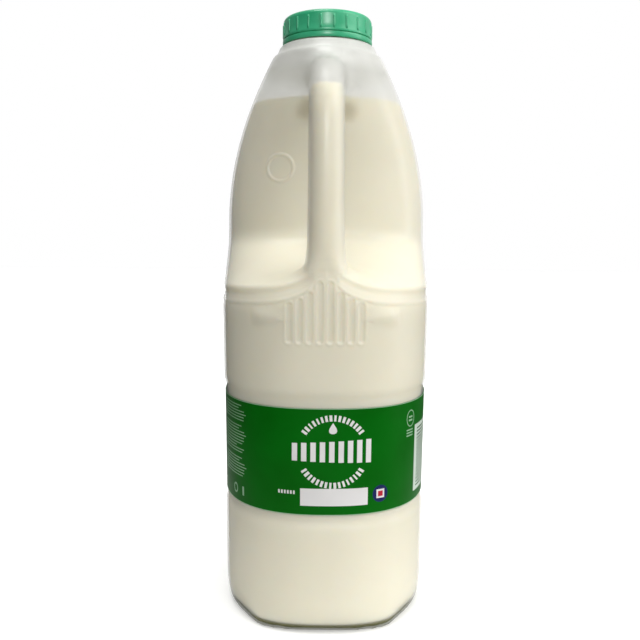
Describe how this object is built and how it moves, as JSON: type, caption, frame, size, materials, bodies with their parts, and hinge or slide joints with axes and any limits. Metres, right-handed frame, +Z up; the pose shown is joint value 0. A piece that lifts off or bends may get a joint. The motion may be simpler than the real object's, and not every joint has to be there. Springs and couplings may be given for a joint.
{
  "type": "plastic milk jug",
  "caption": "Tall translucent blown plastic milk bottle with a hollow front handle, a ribbed screw cap, a green sleeve label and milk inside up to the shoulders.",
  "frame": {"origin": "middle of the base on the surface it stands on", "axes": "+Z up along the bottle's height, handle towards -Y, +X to the right seen from the handle's side"},
  "size_m": [0.1, 0.12, 0.2805],
  "materials": {
    "natural_plastic": "blown natural polyethylene, thin and translucent, satin",
    "milk": "semi-skimmed milk, opaque cream white",
    "green_plastic": "moulded green polyethylene with fine upright ribs",
    "printed_film": "printed plastic film, deep green with plain white shapes"
  },
  "bodies": {
    "root": {"bottle": "natural_plastic", "milk": "milk", "cap": "green_plastic", "label": "printed_film"}
  },
  "joints": []
}
